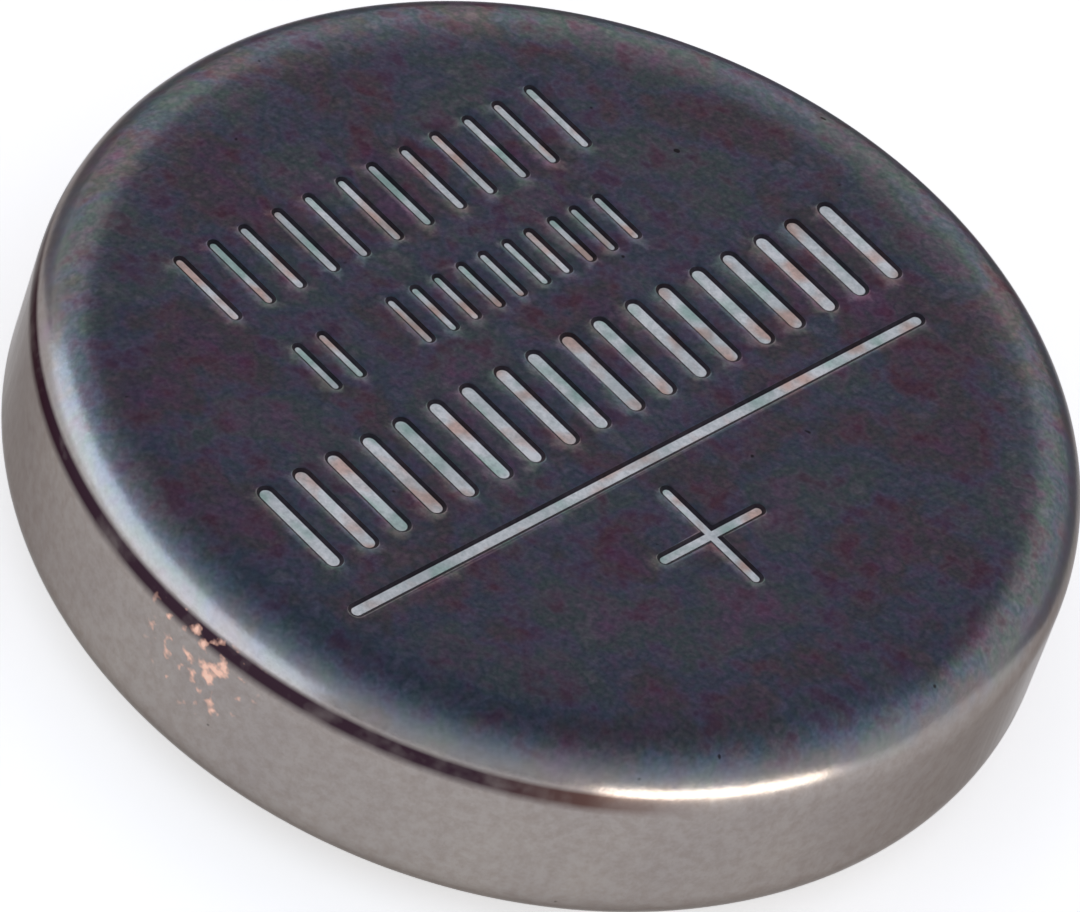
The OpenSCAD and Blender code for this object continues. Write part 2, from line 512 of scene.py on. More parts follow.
@dataclass(frozen=True)
class NickelPlate(Finish):
    """Nickel plate on drawn steel: a dark mirror-like sheen with faint rolled grain.

    The face has clouds of thin oxide, and the wall has the lines that drawing left. A dark band
    round one side of the shoulder is a painted reflection of dark surroundings, and a patch on
    the wall has painted warm glints.
    """

    body: str = "#9c9590"
    violet: str = "#a592a2"
    blue: str = "#939aa6"
    green: str = "#939f98"
    wall_dull: str = "#948d8a"
    # Radius of the wall
    wall_r: float = 5.0
    # Clouds of thin oxide, 1 to 2 mm across, with finer mottling inside them
    cloud: float = 1.3
    mottle: float = 0.26
    # Fine sparkle of the plate, drawn coarser than its real grain so that it shows
    grit: float = 0.05
    # Tint of the reflection at low angles, where the oxide film takes the glare off
    grazing: str = "#b8b4b2"
    # Rolled lines in the strip, drawn coarser than the real 0.01 mm so that they show
    rolled: float = 0.05
    # Direction of the rolled lines
    turn: float = 57.0
    # Lines that the drawing die leaves up the wall
    drawn: float = 0.06
    # Orange peel of the plate
    peel: float = 0.12
    # The painted dark reflection round the shoulder: heights where it starts, is full, starts to fade and
    # ends, and the way it faces
    dark_reflection: tuple[float, float, float, float] = (2.04, 1.99, 1.89, 1.79)
    dark_reflection_faces: float = 188.0
    # Colours of the painted dark reflection, darkest on its strong side
    dark_reflection_deep: str = "#33242d"
    dark_reflection_brown: str = "#5e463f"
    # Size of the breaks in the painted dark reflection
    dark_reflection_break: float = 0.45
    # A patch of painted warm glints on the wall: where it is, how far it reaches, the size of its spots and
    # their warm and bright colours
    glint_faces: float = 243.0
    glint_z: float = 1.7
    glint_reach: float = 0.75
    glint_spot: float = 0.14
    glint_warm: str = "#dfa893"
    glint_bright: str = "#f6cbb6"
    # Specks of dirt, which are 0.05 to 0.1 mm across and well apart
    speck: float = 0.16
    dirt: str = "#34302e"

    def shade(self, tree: bpy.types.NodeTree) -> bpy.types.Node:
        """Builds the plate's nodes and gives the shader.

        Args:
            tree: The node tree.

        Returns:
            The shader's node.
        """
        place = self.place(tree)
        # The strip's lines and the oxide show on the face, and the die's lines on the wall
        normal = add_node(tree, "NewGeometry").outputs["Normal"]
        facing = add_node(tree, "SeparateXYZ", None, {0: normal}).outputs["Z"]
        face = add_node(tree, "MapRange", {"From Min": 0.3, "From Max": 0.8}, {"Value": facing})
        wall = add_node(
            tree,
            "MapRange",
            {"From Min": 0.55, "From Max": 0.95, "To Min": 1.0, "To Max": 0.0},
            {"Value": facing},
        )
        clouds = add_node(
            tree, "TexNoise", {"Scale": 1 / self.cloud, "Detail": 4.0, "Roughness": 0.6}, {"Vector": place}
        )
        on_wall = self.wall_colour(tree, place, clouds, wall)
        on_face = self.face_colour(tree, place, clouds, face)
        colour = add_node(tree, "Mix", MIX, {SHARE: face, FIRST: on_wall, SECOND: on_face})
        colour = self.painted_dark_reflection(tree, place, colour)
        colour = self.painted_warm_glints(tree, place, colour)
        specks = add_node(
            tree, "TexNoise", {"Scale": 1 / self.speck, "Detail": 1.0, "Roughness": 0.4}, {"Vector": place}
        )
        share = add_node(
            tree,
            "MapRange",
            {"From Min": 0.80, "From Max": 0.83, "To Min": 0.0, "To Max": 0.85},
            {"Value": specks},
        )
        dirty = MIX | {SECOND: linear(self.dirt)}
        colour = add_node(tree, "Mix", dirty, {SHARE: share, FIRST: colour})
        lines = self.lines(tree, face, wall)
        ridges = add_node(
            tree,
            "MapRange",
            {"From Min": 0.3, "From Max": 0.7, "To Min": 0.14, "To Max": 0.22},
            {"Value": lines},
        )
        haze = add_node(
            tree,
            "MapRange",
            {"From Min": 0.35, "From Max": 0.65, "To Min": 0.0, "To Max": 0.05},
            {"Value": clouds},
        )
        rough = add_node(tree, "Math", PLUS, {0: ridges, 1: haze})
        peel = add_node(
            tree, "TexNoise", {"Scale": 1 / self.peel, "Detail": 3.0, "Roughness": 0.6}, {"Vector": place}
        )
        bumps = add_node(tree, "Bump", {"Strength": 0.6, "Distance": 0.0025 * MM}, {"Height": peel})
        bumps = add_node(
            tree, "Bump", {"Strength": 0.45, "Distance": 0.0012 * MM}, {"Height": lines, "Normal": bumps}
        )
        settings = {"Metallic": 1.0, "Specular Tint": linear(self.grazing)}
        links = {"Base Color": colour, "Roughness": rough, "Normal": bumps}
        return add_node(tree, "BsdfPrincipled", settings, links)

    def lines(
        self, tree: bpy.types.NodeTree, face: bpy.types.Node, wall: bpy.types.Node
    ) -> bpy.types.Node:
        """Builds the fine lines: rolled ones on the face and drawn ones up the wall.

        Args:
            tree: The node tree.
            face: Share of the face.
            wall: Share of the wall.

        Returns:
            The height of the lines.
        """
        across = self.place(tree, self.turn, Grain.ALONG_X)
        upward = self.place(tree, 0.0, Grain.ALONG_Z)
        rolled = add_node(
            tree,
            "TexNoise",
            {"Scale": 1 / self.rolled, "Detail": 4.0, "Roughness": 0.7},
            {"Vector": across},
        )
        drawn = add_node(
            tree, "TexNoise", {"Scale": 1 / self.drawn, "Detail": 3.0, "Roughness": 0.6}, {"Vector": upward}
        )
        on_face = add_node(tree, "Math", TIMES, {0: rolled, 1: face})
        on_wall = add_node(tree, "Math", TIMES, {0: drawn, 1: wall})
        return add_node(tree, "Math", PLUS, {0: on_face, 1: on_wall})

    def face_colour(
        self,
        tree: bpy.types.NodeTree,
        place: bpy.types.Node,
        clouds: bpy.types.Node,
        face: bpy.types.Node,
    ) -> bpy.types.Node:
        """Builds the face's colour: clouds of violet, blue and green oxide, mottled and gritty.

        Args:
            tree: The node tree.
            place: The place in millimetres.
            clouds: Noise of the oxide's clouds.
            face: Share of the face.

        Returns:
            The colour.
        """
        oxide = {
            "stops": (
                (0.32, self.violet),
                (0.42, self.body),
                (0.50, self.blue),
                (0.57, self.green),
                (0.68, self.violet),
            )
        }
        tinted = add_node(tree, "ValToRGB", oxide, {0: clouds})
        speckle = add_node(
            tree, "TexNoise", {"Scale": 1 / self.mottle, "Detail": 2.5, "Roughness": 0.6}, {"Vector": place}
        )
        pink_to_green = {
            "stops": ((0.32, "#ecc8d6"), (0.45, "#f6f0f6"), (0.57, "#cfe6df"), (0.70, "#ffffff"))
        }
        mottled = add_node(tree, "ValToRGB", pink_to_green, {0: speckle})
        colour = add_node(tree, "Mix", DARKEN, {SHARE: face, FIRST: tinted, SECOND: mottled})
        grit = add_node(
            tree, "TexNoise", {"Scale": 1 / self.grit, "Detail": 2.0, "Roughness": 0.6}, {"Vector": place}
        )
        sparkle = add_node(tree, "ValToRGB", {"stops": ((0.3, "#d6d3da"), (0.7, "#ffffff"))}, {0: grit})
        return add_node(tree, "Mix", DARKEN, {SHARE: face, FIRST: colour, SECOND: sparkle})

    def wall_colour(
        self,
        tree: bpy.types.NodeTree,
        place: bpy.types.Node,
        clouds: bpy.types.Node,
        wall: bpy.types.Node,
    ) -> bpy.types.Node:
        """Builds the wall's colour: bare plate with dull clouds and a fine grain.

        Args:
            tree: The node tree.
            place: The place in millimetres.
            clouds: Noise of the clouds.
            wall: Share of the wall.

        Returns:
            The colour.
        """
        dulled = {"stops": ((0.3, self.wall_dull), (0.7, self.body))}
        colour = add_node(tree, "ValToRGB", dulled, {0: clouds})
        fine = add_node(
            tree, "TexNoise", {"Scale": 1 / self.peel, "Detail": 4.0, "Roughness": 0.75}, {"Vector": place}
        )
        grain = add_node(tree, "ValToRGB", {"stops": ((0.35, "#efebe9"), (0.6, "#ffffff"))}, {0: fine})
        return add_node(tree, "Mix", DARKEN, {SHARE: wall, FIRST: colour, SECOND: grain})

    def painted_dark_reflection(
        self, tree: bpy.types.NodeTree, place: bpy.types.Node, colour: bpy.types.Node
    ) -> bpy.types.Node:
        """Adds a painted dark reflection: a band round the shoulder, strong on one side and gone on the
        other.

        Args:
            tree: The node tree.
            place: The place in millimetres.
            colour: The plate's colour.

        Returns:
            The colour with the painted dark reflection on it.
        """
        # The band is painted shade: a dark reflection, browner on the round side
        start, full, fade, end = self.dark_reflection
        height = add_node(tree, "SeparateXYZ", None, {0: place}).outputs["Z"]
        upper = add_node(
            tree,
            "MapRange",
            {"From Min": full, "From Max": start, "To Min": 1.0, "To Max": 0.0},
            {"Value": height},
        )
        lower = add_node(tree, "MapRange", {"From Min": end, "From Max": fade}, {"Value": height})
        line = add_node(tree, "Math", TIMES, {0: upper, 1: lower})
        # How far round towards its strong side, from -1 to 1 on the wall
        faces = math.radians(self.dark_reflection_faces)
        way = (math.cos(faces) / self.wall_r, math.sin(faces) / self.wall_r, 0.0)
        toward = {"operation": "DOT_PRODUCT", 1: way}
        side = add_node(tree, "VectorMath", toward, {0: place}).outputs["Value"]
        near = add_node(tree, "MapRange", {"From Min": -0.38, "From Max": -0.15}, {"Value": side})
        line = add_node(tree, "Math", TIMES, {0: line, 1: near})
        broken = add_node(
            tree,
            "TexNoise",
            {"Scale": 1 / self.dark_reflection_break, "Detail": 3.0, "Roughness": 0.6},
            {"Vector": place},
        )
        breaks = add_node(
            tree,
            "MapRange",
            {"From Min": 0.3, "From Max": 0.5, "To Min": 0.75, "To Max": 1.0},
            {"Value": broken},
        )
        line = add_node(tree, "Math", TIMES, {0: line, 1: breaks})
        round_side = add_node(tree, "MapRange", {"From Min": -0.25, "From Max": 0.1}, {"Value": side})
        browned = {"stops": ((0.1, self.dark_reflection_brown), (0.9, self.dark_reflection_deep))}
        hue = add_node(tree, "ValToRGB", browned, {0: round_side})
        return add_node(tree, "Mix", MIX, {SHARE: line, FIRST: colour, SECOND: hue})

    def painted_warm_glints(
        self, tree: bpy.types.NodeTree, place: bpy.types.Node, colour: bpy.types.Node
    ) -> bpy.types.Node:
        """Adds painted warm glints: a few bright copper-coloured spots in a patch on the wall.

        Args:
            tree: The node tree.
            place: The place in millimetres.
            colour: The plate's colour.

        Returns:
            The colour with the painted glints on it.
        """
        faces = math.radians(self.glint_faces)
        centre = (self.wall_r * math.cos(faces), self.wall_r * math.sin(faces), self.glint_z)
        apart = add_node(tree, "VectorMath", {"operation": "DISTANCE", 1: centre}, {0: place})
        full, end = 0.2 * self.glint_reach, self.glint_reach
        reach = {"From Min": full, "From Max": end, "To Min": 0.16, "To Max": 0.0}
        near = add_node(tree, "MapRange", reach, {"Value": apart.outputs["Value"]})
        spots = add_node(
            tree,
            "TexNoise",
            {"Scale": 1 / self.glint_spot, "Detail": 2.0, "Roughness": 0.5},
            {"Vector": place},
        )
        glint_noise = add_node(tree, "Math", PLUS, {0: spots, 1: near})
        share = add_node(
            tree,
            "MapRange",
            {"From Min": 0.65, "From Max": 0.80, "To Min": 0.0, "To Max": 0.9},
            {"Value": glint_noise},
        )
        inside = add_node(tree, "MapRange", {"From Min": 0.0, "From Max": 0.04}, {"Value": near})
        share = add_node(tree, "Math", TIMES, {0: share, 1: inside})
        # The painted glints stop at the upper edge of the painted dark reflection
        start, full = self.dark_reflection[:2]
        height = add_node(tree, "SeparateXYZ", None, {0: place}).outputs["Z"]
        below = {"From Min": full, "From Max": start, "To Min": 1.0, "To Max": 0.0}
        under = add_node(tree, "MapRange", below, {"Value": height})
        share = add_node(tree, "Math", TIMES, {0: share, 1: under})
        # Painted highlight colours of the glints, from warm to bright
        glint_stops = {"stops": ((0.6, self.glint_warm), (0.9, self.glint_bright))}
        glint_colour = add_node(tree, "ValToRGB", glint_stops, {0: glint_noise})
        return add_node(tree, "Mix", MIX, {SHARE: share, FIRST: colour, SECOND: glint_colour})


@dataclass(frozen=True)
class CoinedMetal(Finish):
    """Coined steel, the bottom or side of a mark: matt, so that it takes light from all round. Its dark
    copy on a mark's sides is painted shade in the recess.
    """

    light: str = "#f0f3f2"
    dark: str = "#c2cac9"
    rough: float = 0.55
    metallic: float = 0.25
    # Grit of the punch, broad patches of wear, and spots of warm and cool tarnish
    grit: float = 0.05
    patch: float = 0.6
    tint: float = 0.5
    warm: str = "#f2cfc2"
    cool: str = "#c9e2d8"

    def shade(self, tree: bpy.types.NodeTree) -> bpy.types.Node:
        """Builds the matt metal's nodes and gives the shader.

        Args:
            tree: The node tree.

        Returns:
            The shader's node.
        """
        place = self.place(tree)
        grains = add_node(
            tree, "TexNoise", {"Scale": 1 / self.grit, "Detail": 3.0, "Roughness": 0.6}, {"Vector": place}
        )
        broad = add_node(
            tree, "TexNoise", {"Scale": 1 / self.patch, "Detail": 2.0, "Roughness": 0.5}, {"Vector": place}
        )
        both = add_node(tree, "Math", TIMES, {0: grains, 1: broad})
        worn = {"stops": ((0.12, self.dark), (0.36, self.light))}
        bright = add_node(tree, "ValToRGB", worn, {0: both})
        spots = {"Scale": 1 / self.tint, "Detail": 2.0, "Roughness": 0.5}
        tinted = add_node(tree, "TexNoise", spots, {"Vector": place})
        hues = {"stops": ((0.36, self.warm), (0.48, "#ffffff"), (0.54, "#ffffff"), (0.66, self.cool))}
        hue = add_node(tree, "ValToRGB", hues, {0: tinted})
        links = {
            "Base Color": add_node(tree, "Mix", DARKEN | {SHARE: 1.0}, {FIRST: bright, SECOND: hue}),
            "Normal": add_node(tree, "Bump", {"Strength": 0.7, "Distance": 0.004 * MM}, {"Height": grains}),
        }
        settings = {"Metallic": self.metallic, "Roughness": self.rough}
        return add_node(tree, "BsdfPrincipled", settings, links)


@dataclass(frozen=True)
class TurnedSteel(Finish):
    """Nickel-plated stainless steel, turned: fine rings round the axis that draw light into arcs."""

    body: str = "#cfccc8"
    worn: str = "#bfbbb7"
    # Spacing of the fine rings, drawn coarser than the real 0.02 mm so that they show
    pitch: float = 0.09
    cloud: float = 1.2
    grain: float = 0.1

    def shade(self, tree: bpy.types.NodeTree) -> bpy.types.Node:
        """Builds the turned metal's nodes and gives the shader.

        Args:
            tree: The node tree.

        Returns:
            The shader's node.
        """
        place = self.place(tree)
        # A scale of 1 puts the wave's rings 0.314 apart
        turned = {
            "wave_type": "RINGS",
            "rings_direction": "Z",
            "Scale": 0.314 / self.pitch,
            "Distortion": 0.25,
            "Detail": 1.0,
        }
        rings = add_node(tree, "TexWave", turned, {"Vector": place}).outputs["Fac"]
        clouds = add_node(
            tree, "TexNoise", {"Scale": 1 / self.cloud, "Detail": 4.0, "Roughness": 0.6}, {"Vector": place}
        )
        grain = add_node(
            tree, "TexNoise", {"Scale": 1 / self.grain, "Detail": 3.0, "Roughness": 0.6}, {"Vector": place}
        )
        ridges = add_node(
            tree,
            "MapRange",
            {"From Min": 0.0, "From Max": 1.0, "To Min": 0.2, "To Max": 0.28},
            {"Value": rings},
        )
        haze = add_node(
            tree,
            "MapRange",
            {"From Min": 0.3, "From Max": 0.7, "To Min": 0.0, "To Max": 0.06},
            {"Value": clouds},
        )
        bumps = add_node(tree, "Bump", {"Strength": 0.6, "Distance": 0.0012 * MM}, {"Height": rings})
        worn = {"stops": ((0.35, self.worn), (0.6, self.body))}
        links = {
            "Base Color": add_node(tree, "ValToRGB", worn, {0: clouds}),
            "Roughness": add_node(tree, "Math", PLUS, {0: ridges, 1: haze}),
            "Normal": add_node(
                tree, "Bump", {"Strength": 0.4, "Distance": 0.002 * MM}, {"Height": grain, "Normal": bumps}
            ),
        }
        return add_node(tree, "BsdfPrincipled", {"Metallic": 1.0}, links)


@dataclass(frozen=True)
class BareSteel(Finish):
    """Stamped stainless strip, bare: a soft grey sheen with the rolling mill's lines."""

    light: str = "#aeb0b3"
    dark: str = "#94979b"
    # Spacing of the mill's lines, drawn coarser than the real 0.01 mm so that they show
    rolled: float = 0.05

    def shade(self, tree: bpy.types.NodeTree) -> bpy.types.Node:
        """Builds the strip's nodes and gives the shader.

        Args:
            tree: The node tree.

        Returns:
            The shader's node.
        """
        across = self.place(tree, 0.0, Grain.ALONG_X)
        lines = add_node(
            tree,
            "TexNoise",
            {"Scale": 1 / self.rolled, "Detail": 4.0, "Roughness": 0.65},
            {"Vector": across},
        )
        streaks = {"stops": ((0.35, self.dark), (0.6, self.light))}
        links = {
            "Base Color": add_node(tree, "ValToRGB", streaks, {0: lines}),
            "Roughness": add_node(
                tree,
                "MapRange",
                {"From Min": 0.3, "From Max": 0.7, "To Min": 0.25, "To Max": 0.4},
                {"Value": lines},
            ),
            "Normal": add_node(tree, "Bump", {"Strength": 0.6, "Distance": 0.0015 * MM}, {"Height": lines}),
        }
        return add_node(tree, "BsdfPrincipled", {"Metallic": 1.0}, links)


@dataclass(frozen=True)
class PressedPowder(Finish):
    """Manganese dioxide and graphite, pressed: a black, granular block with a few graphite glints."""

    body: str = "#2a292a"
    deep: str = "#181718"
    glint: str = "#5c5c60"
    grain: float = 0.08

    def shade(self, tree: bpy.types.NodeTree) -> bpy.types.Node:
        """Builds the powder's nodes and gives the shader.

        Args:
            tree: The node tree.

        Returns:
            The shader's node.
        """
        place = self.place(tree)
        grains = add_node(
            tree, "TexNoise", {"Scale": 1 / self.grain, "Detail": 5.0, "Roughness": 0.7}, {"Vector": place}
        )
        powder = {"stops": ((0.35, self.deep), (0.6, self.body), (0.72, self.glint))}
        links = {
            "Base Color": add_node(tree, "ValToRGB", powder, {0: grains}),
            "Roughness": add_node(
                tree,
                "MapRange",
                {"From Min": 0.4, "From Max": 0.75, "To Min": 0.85, "To Max": 0.5},
                {"Value": grains},
            ),
            "Normal": add_node(tree, "Bump", {"Strength": 0.8, "Distance": 0.02 * MM}, {"Height": grains}),
        }
        return add_node(tree, "BsdfPrincipled", {"IOR": 1.6}, links)


@dataclass(frozen=True)
class FibreFelt(Finish):
    """Non-woven polypropylene: a soft off-white mat of fine crossed fibres."""

    body: str = "#eceae2"
    gap: str = "#c9c5b8"
    # Real fibres are about 0.015 mm; these are drawn at 0.04 mm so that they show
    fibre: float = 0.04
    # Directions of the three layers of fibres
    lays: tuple[float, float, float] = (10.0, 75.0, 130.0)

    def shade(self, tree: bpy.types.NodeTree) -> bpy.types.Node:
        """Builds the felt's nodes and gives the shader.

        Args:
            tree: The node tree.

        Returns:
            The shader's node.
        """
        layers = []
        for lay in self.lays:
            along = self.place(tree, lay, Grain.ALONG_X)
            layers.append(add_node(
                tree,
                "TexNoise",
                {"Scale": 1 / self.fibre, "Detail": 2.0, "Roughness": 0.6},
                {"Vector": along},
            ))
        mat = add_node(tree, "Math", LARGER, {0: layers[0], 1: layers[1]})
        mat = add_node(tree, "Math", LARGER, {0: mat, 1: layers[2]})
        fibres = {"stops": ((0.5, self.gap), (0.66, self.body))}
        links = {
            "Base Color": add_node(tree, "ValToRGB", fibres, {0: mat}),
            "Normal": add_node(tree, "Bump", {"Strength": 0.8, "Distance": 0.02 * MM}, {"Height": mat}),
        }
        settings = {"Roughness": 0.85, "IOR": 1.49, "Sheen Weight": 0.15}
        return add_node(tree, "BsdfPrincipled", settings, links)


@dataclass(frozen=True)
class RolledLithium(Finish):
    """Lithium strip, rolled and cut: a soft silver-white metal under a dull grey skin."""

    body: str = "#c6c8ca"
    skin: str = "#9b9ea2"
    # Spacing and direction of the rolled lines, and size of the patches of skin
    rolled: float = 0.09
    turn: float = 20.0
    patch: float = 0.8

    def shade(self, tree: bpy.types.NodeTree) -> bpy.types.Node:
        """Builds the lithium's nodes and gives the shader.

        Args:
            tree: The node tree.

        Returns:
            The shader's node.
        """
        across = self.place(tree, self.turn, Grain.ALONG_X)
        lines = add_node(
            tree,
            "TexNoise",
            {"Scale": 1 / self.rolled, "Detail": 4.0, "Roughness": 0.6},
            {"Vector": across},
        )
        patchy = {"Scale": 1 / self.patch, "Detail": 4.0, "Roughness": 0.65}
        patches = add_node(tree, "TexNoise", patchy, {"Vector": self.place(tree)})
        skinned = {"stops": ((0.38, self.skin), (0.6, self.body))}
        links = {
            "Base Color": add_node(tree, "ValToRGB", skinned, {0: patches}),
            "Roughness": add_node(
                tree,
                "MapRange",
                {"From Min": 0.35, "From Max": 0.65, "To Min": 0.6, "To Max": 0.4},
                {"Value": patches},
            ),
            "Normal": add_node(tree, "Bump", {"Strength": 0.7, "Distance": 0.004 * MM}, {"Height": lines}),
        }
        return add_node(tree, "BsdfPrincipled", {"Metallic": 1.0}, links)


@dataclass(frozen=True)
class MouldedPolypropylene(Finish):
    """Moulded polypropylene, dark grey: a smooth, waxy seal with a faint flow texture."""

    body: str = "#3b3b3e"
    deep: str = "#2b2b2e"
    # Size of the flow marks and of the mould's spark texture
    flow: float = 0.7
    texture: float = 0.06

    def shade(self, tree: bpy.types.NodeTree) -> bpy.types.Node:
        """Builds the plastic's nodes and gives the shader.

        Args:
            tree: The node tree.

        Returns:
            The shader's node.
        """
        place = self.place(tree)
        flow = add_node(
            tree, "TexNoise", {"Scale": 1 / self.flow, "Detail": 3.0, "Roughness": 0.5}, {"Vector": place}
        )
        fine = add_node(
            tree,
            "TexNoise",
            {"Scale": 1 / self.texture, "Detail": 3.0, "Roughness": 0.6},
            {"Vector": place},
        )
        marbled = {"stops": ((0.35, self.deep), (0.65, self.body))}
        links = {
            "Base Color": add_node(tree, "ValToRGB", marbled, {0: flow}),
            "Roughness": add_node(
                tree,
                "MapRange",
                {"From Min": 0.3, "From Max": 0.7, "To Min": 0.38, "To Max": 0.5},
                {"Value": fine},
            ),
            "Normal": add_node(tree, "Bump", {"Strength": 0.5, "Distance": 0.003 * MM}, {"Height": fine}),
        }
        return add_node(tree, "BsdfPrincipled", {"IOR": 1.49}, links)


@dataclass(frozen=True)
class OpalTable(Finish):
    """Opal acrylic light table: an even white top, lit faintly from inside and open to look up through."""

    body: str = "#f4f4f3"
    cloud: str = "#efefee"
    cloud_size: float = 18.0
    glow: float = 0.6

    def shade(self, tree: bpy.types.NodeTree) -> bpy.types.Node:
        """Builds the table's nodes and gives the shader.

        Args:
            tree: The node tree.

        Returns:
            The shader's node.
        """
        cloudy = {"Scale": 1 / self.cloud_size, "Detail": 3.0, "Roughness": 0.5}
        soft = add_node(tree, "TexNoise", cloudy, {"Vector": self.place(tree)})
        clouded = {"stops": ((0.3, self.cloud), (0.7, self.body))}
        colour = add_node(tree, "ValToRGB", clouded, {0: soft})
        settings = {
            "Roughness": 0.7,
            "IOR": 1.49,
            "Specular IOR Level": 0.2,
            "Emission Strength": self.glow,
        }
        links = {"Base Color": colour, "Emission Color": colour}
        top = add_node(tree, "BsdfPrincipled", settings, links)
        back = add_node(tree, "NewGeometry").outputs["Backfacing"]
        clear = add_node(tree, "BsdfTransparent")
        return add_node(tree, "MixShader", None, {0: back, 1: top, 2: clear})


@dataclass(frozen=True)
class GreyFelt(Finish):
    """Grey felt on the flag: an even light grey with no gleam."""

    body: str = "#b9b6bb"
    nap: str = "#c4c1c6"
    fuzz: float = 0.4

    def shade(self, tree: bpy.types.NodeTree) -> bpy.types.Node:
        """Builds the felt's nodes and gives the shader.

        Args:
            tree: The node tree.

        Returns:
            The shader's node.
        """
        fuzz = add_node(
            tree,
            "TexNoise",
            {"Scale": 1 / self.fuzz, "Detail": 3.0, "Roughness": 0.6},
            {"Vector": self.place(tree)},
        )
        napped = {"stops": ((0.3, self.body), (0.7, self.nap))}
        links = {"Base Color": add_node(tree, "ValToRGB", napped, {0: fuzz})}
        settings = {"Roughness": 0.9, "Specular IOR Level": 0.1}
        return add_node(tree, "BsdfPrincipled", settings, links)


NICKEL = NickelPlate("nickel_plated_steel")
COINED_FLOOR = CoinedMetal("coined_mark_floor")
# The marks' sides are a darker copy of the floor's metal: painted shade in the recesses
COINED_SIDE_PAINTED_SHADE = CoinedMetal("coined_mark_side_painted_shade", "#3b343b", "#241f26", 0.45, 0.6)
CAP_STEEL = TurnedSteel("turned_cap_steel")
NET_STEEL = BareSteel("expanded_net_steel")
RING_STEEL = BareSteel("stamped_ring_steel", "#b2b4b6", "#9a9c9f")
CATHODE_MIX = PressedPowder("pressed_cathode_mix")
FELT = FibreFelt("separator_felt")
LITHIUM = RolledLithium("rolled_lithium")
SEAL = MouldedPolypropylene("moulded_polypropylene")
TABLE = OpalTable("opal_acrylic_table")
FLAG = GreyFelt("grey_felt")


# ---- The cell's pieces ----


@dataclass
class Piece:
    """What every piece of the cell has: its name, the CAD node it stands for and its material slot."""

    name: str
    node: str
    slot: str

    def section(self) -> tuple[list[Point], bool]:
        """Gives the piece's section, and whether its line is closed."""
        raise NotImplementedError

    def mesh(self) -> Mesh:
        """Turns the section round the cell's axis.

        Returns:
            The piece's mesh.
        """
        line, closed = self.section()
        made = Mesh()
        made.turn(line, closed)
        return made

    def finishes(self) -> list[Finish]:
        """Gives the piece's finishes, in the order of its material slots."""
        raise NotImplementedError

    def build(self) -> bpy.types.Object:
        """Builds the piece, dresses it and hands it to the frame.

        Returns:
            The piece's object.
        """
        made = self.mesh().piece(self.name)
        for finish in self.finishes():
            made.data.materials.append(finish.material())
        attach(made, BODY)
        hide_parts(self.node)
        LOG.info("%s: %d faces, stands for %s", self.name, len(made.data.polygons), self.node)
        return made


@dataclass(frozen=True)
class MarkRow:
    """A row of upright stroke pairs: its foot, height and ends, stroke width, places and an empty place."""

    foot: float
    tall: float
    start: float
    end: float
    width: float
    places: int
    empty: int = -1


@dataclass(frozen=True)
class FaceMarks:
    """The coined marks on the face: three rows of plain strokes, a rule and the plus sign."""

    turn: float = math.radians(57)
    rows: tuple[MarkRow, ...] = (
        MarkRow(1.95, 0.9, -2.7, 2.2, 0.13, 6),
        MarkRow(0.82, 0.64, -2.4, 1.75, 0.12, 7, 1),
        MarkRow(-0.82, 1.1, -3.95, 3.7, 0.19, 9),
    )
    # Half the spacing of a pair, as a share of its place
    pair_share: float = 0.26
    rule_at: Point = (-0.35, -1.3)
    rule_length: float = 7.4
    rule_width: float = 0.16
    plus_at: Point = (-0.4, -2.3)
    plus_length: float = 1.35
    plus_width: float = 0.14
    depth: float = 0.03

    def on_face(self, u: float, v: float) -> Point:
        """Gives the place on the face of a point along and above the rows."""
        c, s = math.cos(self.turn), math.sin(self.turn)
        return u * c - v * s, u * s + v * c

    def shapes(self) -> list[Groove | PlusSign]:
        """Gives every mark.

        Returns:
            The marks, row by row.
        """
        found: list[Groove | PlusSign] = []
        for row in self.rows:
            pitch = (row.end - row.start) / row.places
            for place in range(row.places):
                if place == row.empty:
                    continue
                for side in (-1, 1):
                    u = row.start + (place + 0.5 + side * self.pair_share) * pitch
                    centre = self.on_face(u, row.foot + row.tall / 2)
                    found.append(Groove(centre, row.tall, row.width, self.turn + math.pi / 2))
        found.append(Groove(self.on_face(*self.rule_at), self.rule_length, self.rule_width, self.turn))
        found.append(PlusSign(self.on_face(*self.plus_at), self.plus_length, self.plus_width, self.turn))
        return found


